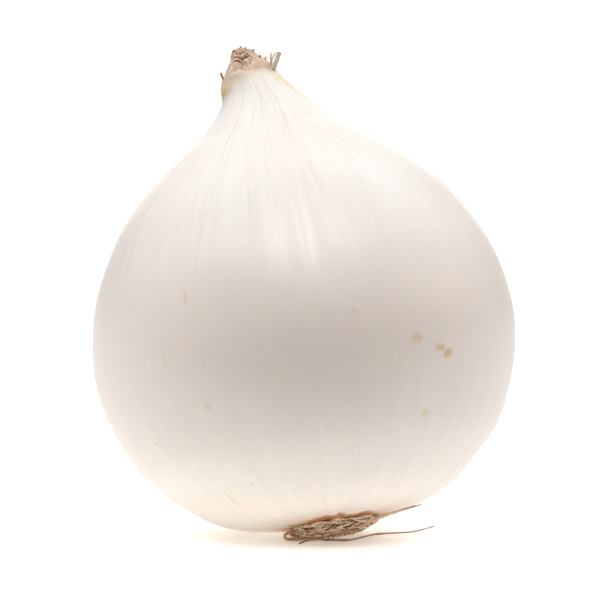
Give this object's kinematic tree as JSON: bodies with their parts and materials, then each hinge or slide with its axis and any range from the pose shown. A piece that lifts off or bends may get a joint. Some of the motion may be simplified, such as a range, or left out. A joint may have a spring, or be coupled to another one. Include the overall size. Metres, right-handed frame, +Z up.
{
  "type": "onion",
  "caption": "Large round white onion with papery skin, a dried pinched neck and a matted root plate with loose roots, settled over to one side.",
  "frame": {"origin": "on the surface the onion rests on, at the middle of its bounding box in X and Y", "axes": "+Z up, the onion's height with its neck at the top; the neck leans towards -X and +Y; -Y is the side the picture was taken from"},
  "size_m": [0.0902, 0.0894, 0.1044],
  "materials": {
    "white_skin": null,
    "dry_paper": null,
    "dry_root": null
  },
  "bodies": {
    "root": {"bulb": "white_skin", "neck_tip": "dry_paper", "root_plate": "dry_root"}
  },
  "joints": []
}
